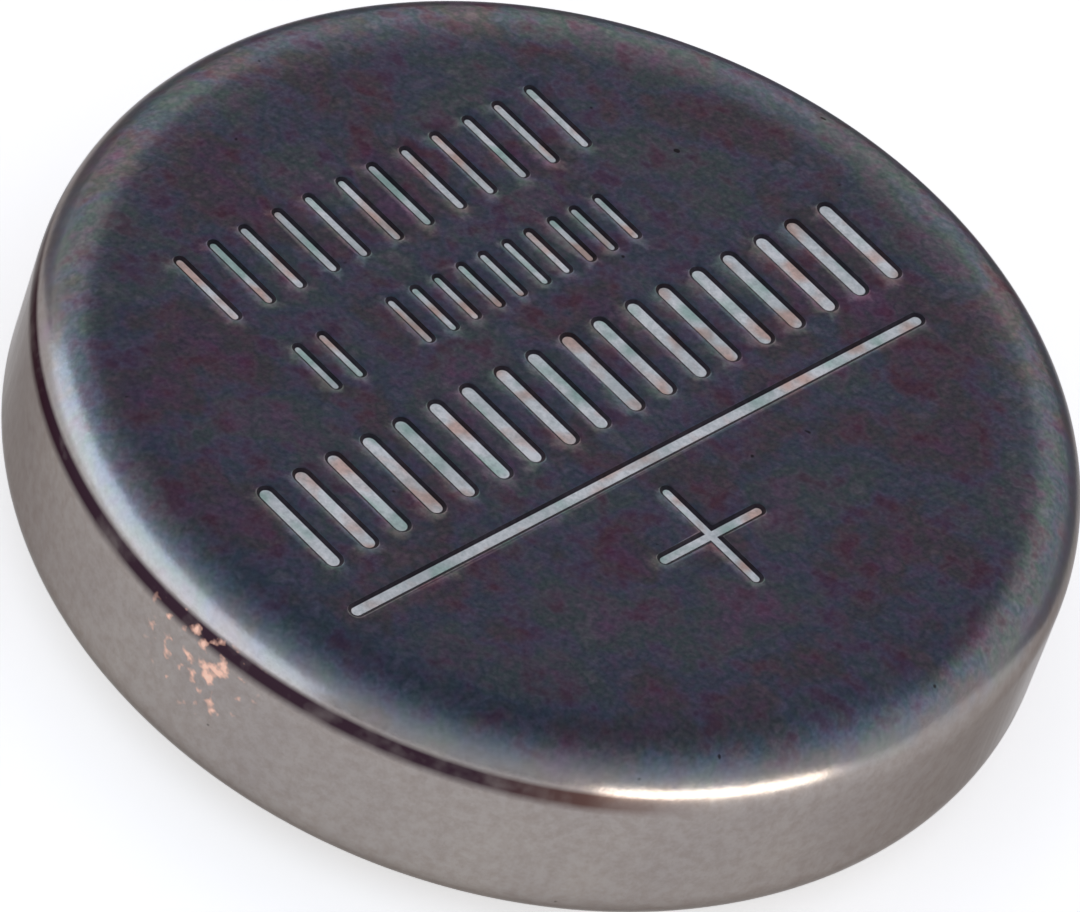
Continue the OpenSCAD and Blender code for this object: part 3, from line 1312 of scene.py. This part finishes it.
@dataclass
class PositiveCan(Piece):
    """Drawn cup with a crowned face, a wide shoulder and a rim crimped over the gasket."""

    cell_r: float = 5.0
    cell_h: float = 2.5
    wall: float = 0.25
    corner_r: float = 0.7
    crown_w: float = 0.4
    crown_slope: float = 5.0
    crimp_r: float = 0.6
    lip_w: float = 0.25
    lip_rise: float = 0.12
    edge: float = 0.04
    marks: FaceMarks = FaceMarks()
    # Rings of a mark's edge: inset from the outline, and share of the depth
    mark_rings: tuple[Point, ...] = ((-0.02, 0.0), (-0.004, 0.14), (0.014, 0.7), (0.03, 1.0))
    # Shares of the depth from which a face is a mark's side, and its floor
    side_from: float = 0.2
    floor_from: float = 0.99
    # Spacing of the points that fill the face, how far they keep from a mark and from the
    # flat's edge, and rings of them on the crowned margin
    spacing: float = 0.14
    mark_clear: float = 0.04
    flat_clear: float = 0.03
    crown_rings: int = 12

    @property
    def crown_mid_r(self) -> float:
        """Middle radius of the crowned margin's bend."""
        return self.crown_w / math.sin(math.radians(self.crown_slope))

    @property
    def flat_r(self) -> float:
        """Radius of the flat of the face.

        Returns:
            The radius.
        """
        corner_mid = self.corner_r - self.wall / 2
        run = self.wall / 2 + corner_mid * (1 - math.sin(math.radians(self.crown_slope)))
        return self.cell_r - run - self.crown_w

    def sheet(self) -> BentSheet:
        """Gives the can's sheet, from the centre of the face to the edge of the lip.

        Returns:
            The sheet.
        """
        slope = math.radians(self.crown_slope)
        corner_mid = self.corner_r - self.wall / 2
        crimp_mid = self.crimp_r - self.wall / 2
        straight = (
            self.cell_h
            - self.lip_rise
            - self.wall
            - self.crown_mid_r * (1 - math.cos(slope))
            - corner_mid * math.cos(slope)
            - crimp_mid
        )
        return BentSheet(
            (0.0, self.cell_h - self.wall / 2, 0.0),
            (
                Step(self.flat_r, -self.crown_slope, self.crown_mid_r),
                Step(0.0, self.crown_slope - 90, corner_mid),
                Step(straight, -90, crimp_mid),
                Step(self.lip_w),
            ),
            self.wall,
        )

    def crown_r(self) -> float:
        """Gives the radius of the crowned margin's outside, where the corner starts."""
        return self.flat_r + (self.crown_mid_r + self.wall / 2) * math.sin(math.radians(self.crown_slope))

    def face_height(self, r: float) -> float:
        """Gives the height of the face at a radius.

        Args:
            r: The radius.

        Returns:
            The height.
        """
        bend = self.crown_mid_r + self.wall / 2
        out = max(0.0, r - self.flat_r)
        return self.cell_h - (bend - math.sqrt(bend**2 - out**2))

    def face_dots(self, shapes: Sequence[Groove | PlusSign]) -> list[Point]:
        """Gives the points that fill the face between the marks.

        Args:
            shapes: The marks, which the points keep clear of.

        Returns:
            The points.
        """
        outer = self.crown_r()
        flat_rings = math.floor((self.flat_r - self.flat_clear) / self.spacing)
        rings = [self.spacing * k for k in range(1, flat_rings + 1)]
        crown_step = (outer - self.flat_r) / self.crown_rings
        rings += [self.flat_r + crown_step * k for k in range(self.crown_rings)]
        dots: list[Point] = [(0.0, 0.0)]
        for row, r in enumerate(rings):
            count = max(6, round(math.tau * r / self.spacing))
            for k in range(count):
                angle = math.tau * (k + 0.5 * (row % 2)) / count
                at = Vector((r * math.cos(angle), r * math.sin(angle)))
                if all(shape.distance(at) > self.mark_clear for shape in shapes):
                    dots.append((at.x, at.y))
        return dots

    def mesh(self) -> Mesh:
        """Joins the face with its marks to the turned shoulder, wall, crimp and inside.

        Returns:
            The can's mesh.
        """
        made = Mesh()
        outline = self.sheet().outline()
        outer = self.crown_r()
        # The section without the flat and the crowned margin, which carry the marks
        half = len(outline) // 2
        rest = [
            p
            for i, p in enumerate(outline)
            if i >= half or p[0] > outer + WELD or p[1] < self.cell_h / 2
        ]
        line = [(outer, self.face_height(outer))] + rest
        made.turn(broken_edges(line, self.edge, False))
        self.add_face(made, outer)
        return made

    def add_face(self, made: Mesh, outer: float) -> None:
        """Adds the face, with its marks sunk into it.

        Args:
            made: The can's mesh.
            outer: Radius where the face ends.
        """
        shapes = self.marks.shapes()
        turns = [math.tau * k / ROUND for k in range(ROUND)]
        loops: list[list[Point]] = [[(outer * math.cos(turn), outer * math.sin(turn)) for turn in turns]]
        drops = [0.0]
        for shape in shapes:
            for inset, share in self.mark_rings:
                loops.append(shape.outline(inset))
                drops.append(share)
        points, faces, owners = triangles(loops, self.face_dots(shapes))
        sunk = [drops[owner] if owner >= 0 else 0.0 for owner in owners]
        # A mark's floor is level, whatever the face does above it
        floor = self.cell_h - self.marks.depth
        vertices = []
        for (x, y), share in zip(points, sunk):
            top = self.face_height(math.hypot(x, y))
            vertices.append((x, y, top + (floor - top) * share))
        made.add(vertices, faces, [self.face_finish([sunk[i] for i in face]) for face in faces])

    def face_finish(self, sunk: Sequence[float]) -> int:
        """Gives the place of a face's material: plate, mark floor, or mark side with painted shade.

        Args:
            sunk: How deep each of its corners is, as a share of the marks' depth.

        Returns:
            The place in the can's finishes.
        """
        if min(sunk) >= self.floor_from:
            return 1
        return 2 if max(sunk) > self.side_from else 0

    def finishes(self) -> list[Finish]:
        """Gives the plate, the marks' floors and the marks' sides, which carry painted shade."""
        return [NICKEL, COINED_FLOOR, COINED_SIDE_PAINTED_SHADE]


@dataclass
class NegativeCap(Piece):
    """Stepped cup: contact face, sloped step, flange under the gasket's tongue and skirt inside it."""

    wall: float = 0.25
    bend_r: float = 0.1
    slope: float = 65.0
    flat_r: float = 3.324
    flange_in_r: float = 3.9
    flange_z: float = 0.62
    skirt_r: float = 4.45
    skirt_top_z: float = 1.95
    edge: float = 0.04

    def section(self) -> tuple[list[Point], bool]:
        """Gives the cap's section from the axis and back to it.

        Returns:
            The section's points, and whether its line is closed.
        """
        mid = self.bend_r + self.wall / 2
        turn = math.radians(self.slope)
        slope_l = (self.flange_z - 2 * mid * (1 - math.cos(turn))) / math.sin(turn)
        flange_l = self.skirt_r - self.wall / 2 - mid - self.flange_in_r
        skirt_l = self.skirt_top_z - self.flange_z - self.wall / 2 - mid
        sheet = BentSheet(
            (0.0, self.wall / 2, 0.0),
            (
                Step(self.flat_r, self.slope, mid),
                Step(slope_l, -self.slope, mid),
                Step(flange_l, 90, mid),
                Step(skirt_l),
            ),
            self.wall,
        )
        return broken_edges(sheet.outline(), self.edge, False), False

    def finishes(self) -> list[Finish]:
        """Gives the turned steel."""
        return [CAP_STEEL]


@dataclass
class Gasket(Piece):
    """Seal that fills the can round the cap, with a tongue under the flange and a lip inside the skirt."""

    can: BentSheet
    cap: NegativeCap
    inner_r: float = 3.98
    tongue_r: float = 4.025
    inner_lip_z: float = 1.5
    gap: float = 0.02
    edge: float = 0.03

    def section(self) -> tuple[list[Point], bool]:
        """Gives the gasket's section, which follows the inside of the can and the outside of the cap.

        Returns:
            The section's points, and whether its line is closed.
        """
        can_inside = self.can.beside(-self.can.thickness / 2 - self.gap)
        outer = [p for p in can_inside if p[0] > self.inner_r + 0.01]
        top_z = can_inside[0][1]
        lip_z = can_inside[-1][1]
        tongue_z = self.cap.flange_z - self.gap
        round_skirt = self.cap.skirt_r + self.gap
        inside_skirt = self.cap.skirt_r - self.cap.wall - self.gap
        bend = self.cap.bend_r + self.cap.wall + self.gap
        line = [(self.inner_r, top_z), *outer, (self.tongue_r, lip_z), (self.tongue_r, tongue_z)]
        line += arc((round_skirt - bend, tongue_z + bend), bend, -90, 0)
        line += [
            (round_skirt, self.cap.skirt_top_z),
            (inside_skirt, self.cap.skirt_top_z),
            (inside_skirt, self.inner_lip_z),
            (self.inner_r, self.inner_lip_z),
        ]
        return broken_edges(line, self.edge, True), True

    def finishes(self) -> list[Finish]:
        """Gives the moulded plastic."""
        return [SEAL]


@dataclass
class SupportRing(Piece):
    """Stamped ring whose foot lies on the can's floor and whose wall holds the pellet's edge."""

    outer_r: float = 3.73
    foot_w: float = 0.45
    tall: float = 0.55
    foil: float = 0.1
    floor_z: float = 2.25
    edge: float = 0.015

    def section(self) -> tuple[list[Point], bool]:
        """Gives the ring's closed section.

        Returns:
            The section's points, and whether its line is closed.
        """
        corner = self.foil * 1.5
        sheet = BentSheet(
            (self.outer_r - self.foot_w, self.floor_z - self.foil / 2, 0.0),
            (Step(self.foot_w - corner, -90, self.foil), Step(self.tall - corner)),
            self.foil,
        )
        return broken_edges(sheet.outline(), self.edge, True), True

    def finishes(self) -> list[Finish]:
        """Gives the stamped steel."""
        return [RING_STEEL]


@dataclass
class Pellet(Piece):
    """Pressed cathode disc with chamfered edges."""

    radius: float = 3.61
    low_z: float = 1.1
    high_z: float = 2.15
    chamfer: float = 0.15
    edge: float = 0.03

    def section(self) -> tuple[list[Point], bool]:
        """Gives the pellet's section from the axis and back to it.

        Returns:
            The section's points, and whether its line is closed.
        """
        inner = self.radius - self.chamfer
        line = [
            (0.0, self.low_z),
            (inner, self.low_z),
            (self.radius, self.low_z + self.chamfer),
            (self.radius, self.high_z - self.chamfer),
            (inner, self.high_z),
            (0.0, self.high_z),
        ]
        return broken_edges(line, self.edge, False), False

    def finishes(self) -> list[Finish]:
        """Gives the pressed powder."""
        return [CATHODE_MIX]


@dataclass
class Separator(Piece):
    """Shallow felt dish with its rim turned up round the pellet."""

    radius: float = 3.93
    low_z: float = 0.95
    thickness: float = 0.15
    rim: float = 0.4
    edge: float = 0.03

    def section(self) -> tuple[list[Point], bool]:
        """Gives the dish's section from the axis and back to it.

        Returns:
            The section's points, and whether its line is closed.
        """
        corner = self.thickness * 1.5
        sheet = BentSheet(
            (0.0, self.low_z + self.thickness / 2, 0.0),
            (Step(self.radius - corner, 90, self.thickness), Step(self.rim - corner)),
            self.thickness,
        )
        return broken_edges(sheet.outline(), self.edge, False), False

    def finishes(self) -> list[Finish]:
        """Gives the felt."""
        return [FELT]


@dataclass
class LithiumDisc(Piece):
    """Disc of rolled lithium on the cap's floor."""

    radius: float = 2.824
    low_z: float = 0.25
    high_z: float = 0.95
    edge: float = 0.05

    def section(self) -> tuple[list[Point], bool]:
        """Gives the disc's section from the axis and back to it.

        Returns:
            The section's points, and whether its line is closed.
        """
        line = [
            (0.0, self.low_z),
            (self.radius, self.low_z),
            (self.radius, self.high_z),
            (0.0, self.high_z),
        ]
        return broken_edges(line, self.edge, False), False

    def finishes(self) -> list[Finish]:
        """Gives the lithium."""
        return [LITHIUM]


@dataclass
class CollectorNet(Piece):
    """Expanded-metal disc, its openings set in a diamond pattern, welded inside the can's face."""

    radius: float = 3.23
    low_z: float = 2.15
    high_z: float = 2.25
    long_way: float = 1.2
    short_way: float = 0.7
    strand: float = 0.14
    corner: float = 0.07

    def openings(self) -> list[list[Point]]:
        """Gives the outline of each opening, with its corners drawn round.

        Returns:
            The outlines.
        """
        half_long = (self.long_way - 2 * self.strand) / 2
        half_short = (self.short_way - self.strand) / 2
        reach = self.radius - self.long_way / 2
        count_x = math.ceil(2 * self.radius / self.long_way) + 1
        count_y = math.ceil(2 * self.radius / self.short_way) + 1
        found = []
        for i in range(-count_x, count_x + 1):
            for j in range(-count_y, count_y + 1):
                x, y = i * self.long_way / 2, j * self.short_way / 2
                if (i + j) % 2 or math.hypot(x, y) >= reach:
                    continue
                diamond = [(x + half_long, y), (x, y + half_short), (x - half_long, y), (x, y - half_short)]
                found.append(broken_edges(diamond, self.corner, True))
        return found

    def mesh(self) -> Mesh:
        """Fills the disc between its openings on both sides and joins the two with walls.

        Returns:
            The net's mesh.
        """
        made = Mesh()
        holes = self.openings()
        ring = arc((0.0, 0.0), self.radius, 0, 360 * (1 - 1 / ROUND), ROUND - 1)
        points, faces, owners = triangles([ring, *holes], [])
        solid = [face for face in faces if len({owners[i] for i in face}) > 1 or owners[face[0]] == 0]
        for z in (self.low_z, self.high_z):
            made.add([(x, y, z) for x, y in points], solid)
        for loop in (ring, *holes):
            count = len(loop)
            walls = [(i, (i + 1) % count, count + (i + 1) % count, count + i) for i in range(count)]
            made.add([(x, y, z) for z in (self.low_z, self.high_z) for x, y in loop], walls)
        return made

    def finishes(self) -> list[Finish]:
        """Gives the expanded steel."""
        return [NET_STEEL]


# ---- Studio ----


@dataclass(frozen=True)
class LightCard:
    """A soft upright light that stands on the table near the cell and faces it, hidden from the camera."""

    name: str
    azimuth: float
    distance: float
    low: float
    high: float
    wide: float
    tint: str
    radiance: float

    def build(self) -> bpy.types.Object:
        """Builds the light and turns it to the cell.

        Returns:
            The light's object.
        """
        a = math.radians(self.azimuth)
        way = Vector((math.sin(a), -math.cos(a), 0.0))
        lamp = bpy.data.lights.new(self.name, "AREA")
        lamp.shape = "RECTANGLE"
        lamp.size = self.wide * MM
        lamp.size_y = (self.high - self.low) * MM
        lamp.color = linear(self.tint)[:3]
        lamp.energy = self.radiance * math.pi * lamp.size * lamp.size_y
        made = bpy.data.objects.new(self.name, lamp)
        made.location = (way * self.distance + Vector((0.0, 0.0, (self.low + self.high) / 2))) * MM
        made.rotation_euler = way.to_track_quat("Z", "Y").to_euler()
        made.visible_camera = False
        made.visible_diffuse = False
        bpy.context.scene.collection.objects.link(made)
        LOG.info("%s: light at azimuth %.0f, %.0f mm away", self.name, self.azimuth, self.distance)
        return made


@dataclass(frozen=True)
class GreyFlag:
    """Grey card that lies behind the cell. It shows only as a reflection, and keeps the far rim dark."""

    near: float = 8.5
    far: float = 60.0
    spread: float = 75.0
    height: float = 0.01
    facets: int = 24

    def build(self) -> bpy.types.Object:
        """Builds the card as part of a ring behind the cell, seen only in reflections.

        Returns:
            The card's object.
        """
        first, last = 90 - self.spread, 90 + self.spread
        inner = arc((0.0, 0.0), self.near, first, last, self.facets)
        outer = arc((0.0, 0.0), self.far, first, last, self.facets)
        row = len(inner)
        faces = [(k, row + k, row + k + 1, k + 1) for k in range(self.facets)]
        made = Mesh()
        made.add([(x, y, self.height) for x, y in inner + outer], faces)
        card = made.piece("grey_flag")
        card.data.materials.append(FLAG.material())
        card.visible_camera = False
        card.visible_diffuse = False
        card.visible_shadow = False
        return card


@dataclass(frozen=True)
class CeilingBox:
    """A wide soft light overhead. It lights what is matt, and doesn't mirror in the metal."""

    height: float = 300.0
    wide: float = 500.0
    radiance: float = 0.55

    def build(self) -> bpy.types.Object:
        """Builds the light, which shines straight down.

        Returns:
            The light's object.
        """
        lamp = bpy.data.lights.new("ceiling_box", "AREA")
        lamp.shape = "SQUARE"
        lamp.size = self.wide * MM
        lamp.energy = self.radiance * math.pi * lamp.size**2
        made = bpy.data.objects.new("ceiling_box", lamp)
        made.location.z = self.height * MM
        made.visible_camera = False
        made.visible_glossy = False
        bpy.context.scene.collection.objects.link(made)
        return made


@dataclass(frozen=True)
class Room:
    """The studio's walls and ceiling as light: pale low down, dim overhead and behind."""

    # Colour by the sine of the height above the horizon
    heights: tuple[tuple[float, str], ...] = (
        (0.0, "#b2b6be"),
        (0.13, "#d8dce4"),
        (0.30, "#ccd2dc"),
        (0.45, "#bcc4d2"),
        (0.62, "#a4acbc"),
        (0.77, "#8c93a4"),
        (0.89, "#757a8b"),
        (0.97, "#636475"),
    )
    # The same for the half of the room behind the cell
    behind: tuple[tuple[float, str], ...] = (
        (0.0, "#c8c4c8"),
        (0.30, "#d4ced2"),
        (0.52, "#d0cace"),
        (0.60, "#aaa4ac"),
        (0.66, "#756c7c"),
        (0.69, "#6a6077"),
        (0.74, "#7a7285"),
        (0.97, "#67687a"),
    )
    # How far back a direction points where the dimmer half starts, and where it is full
    dims: Point = (0.1, 0.5)

    def build(self) -> None:
        """Builds the world's shader, whose colour goes by height and by how far back it is."""
        world = bpy.data.worlds.new("studio_room")
        bpy.context.scene.world = world
        world.use_nodes = True
        tree = world.node_tree
        tree.nodes.clear()
        way = add_node(tree, "TexCoord").outputs["Generated"]
        parts = add_node(tree, "SeparateXYZ", None, {0: way})
        walls = add_node(tree, "ValToRGB", {"stops": self.heights}, {0: parts.outputs["Z"]})
        dimmer = add_node(tree, "ValToRGB", {"stops": self.behind}, {0: parts.outputs["Z"]})
        start, full = self.dims
        spread = {"From Min": start, "From Max": full}
        back = add_node(tree, "MapRange", spread, {"Value": parts.outputs["Y"]})
        mixed = add_node(tree, "Mix", MIX, {SHARE: back, FIRST: walls, SECOND: dimmer})
        shader = add_node(tree, "Background", {"Strength": 1.0}, {"Color": mixed})
        add_node(tree, "OutputWorld", None, {"Surface": shader})


@dataclass(frozen=True)
class Table:
    """Round light table that the cell stands on."""

    radius: float = 400.0
    middle_r: float = 40.0
    facets: int = 96
    # How far the top lies below the cap's contact face
    gap: float = 0.01

    def build(self) -> bpy.types.Object:
        """Builds the table's top, facing up, a little below the cap.

        Returns:
            The table's object.
        """
        made = Mesh()
        made.turn([(0.0, 0.0), (self.middle_r, 0.0), (self.radius, 0.0)], False, self.facets)
        top = made.piece("table_top")
        for polygon in top.data.polygons:
            if polygon.normal.z < 0:
                polygon.flip()
        top.location.z = -self.gap * MM
        top.data.materials.append(TABLE.material())
        return top


@dataclass(frozen=True)
class Camera:
    """Long-lens camera that looks down on the cell from its front."""

    distance: float = 110.0
    elevation: float = 44.177
    roll: float = 19.806
    target_z: float = 1.25
    sensor: float = 36.0
    # Width that the frame shows at the target
    frame_width: float = 1080 / 107.947
    shift: Point = (-0.0025, -0.0073)
    # Nearest and farthest distance that shows
    clip: Point = (5.0, 5000.0)

    def build(self) -> bpy.types.Object:
        """Builds the camera and makes it the scene's.

        Returns:
            The camera's object.
        """
        e, roll = math.radians(self.elevation), math.radians(self.roll)
        back = Vector((0.0, -math.cos(e), math.sin(e)))
        level = Vector((1.0, 0.0, 0.0))
        over = back.cross(level)
        right = level * math.cos(roll) + over * math.sin(roll)
        up = over * math.cos(roll) - level * math.sin(roll)
        data = bpy.data.cameras.new("camera")
        data.sensor_width = self.sensor
        data.lens = self.sensor * self.distance / self.frame_width
        data.shift_x, data.shift_y = self.shift
        data.clip_start = self.clip[0] * MM
        data.clip_end = self.clip[1] * MM
        made = bpy.data.objects.new("camera", data)
        turn = Matrix((right, up, back)).transposed()
        place = (Vector((0.0, 0.0, self.target_z)) + back * self.distance) * MM
        made.matrix_world = Matrix.Translation(place) @ turn.to_4x4()
        bpy.context.scene.collection.objects.link(made)
        bpy.context.scene.camera = made
        return made


LIGHTS = (
    # Cool card on the left, which draws the bright band round the shoulder
    LightCard("left_card", -62, 19, 0.2, 8.0, 32, "#dce9fa", 1.6),
    # Low warm strip on the right, which draws the cream streak
    LightCard("warm_strip", 46, 15, 0.2, 2.6, 10, "#fff5e6", 6.5),
)


def main() -> None:
    """Builds the cell's pieces in order, then the studio round them."""
    logging.basicConfig(level=logging.INFO, format="%(message)s")
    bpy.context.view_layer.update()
    can_low, can_high = node_box("positive_can")
    can = PositiveCan(
        "can_shell",
        "positive_can",
        "nickel_plated_can",
        cell_r=(can_high.x - can_low.x) / 2,
        cell_h=can_high.z,
        lip_rise=can_low.z,
    )
    cap = NegativeCap("cap_shell", "negative_cap", "cap_steel", skirt_top_z=node_box("negative_cap")[1].z)
    pieces: list[Piece] = [
        can,
        CollectorNet("collector_disc", "cathode_collector", "collector_net"),
        SupportRing("support_ring", "cathode_ring", "support_ring"),
        Pellet("pressed_pellet", "cathode_pellet", "cathode_mix"),
        Separator("felt_dish", "separator", "separator_felt"),
        LithiumDisc("lithium_disc", "lithium_anode", "lithium_metal"),
        Gasket("seal_ring", "gasket", "gasket_plastic", can.sheet(), cap),
        cap,
    ]
    for piece in pieces:
        piece.build()
    Table().build()
    Room().build()
    for light in LIGHTS:
        light.build()
    CeilingBox().build()
    GreyFlag().build()
    Camera().build()
    bpy.context.scene.view_settings.view_transform = "Standard"


if __name__ == "__main__":
    main()
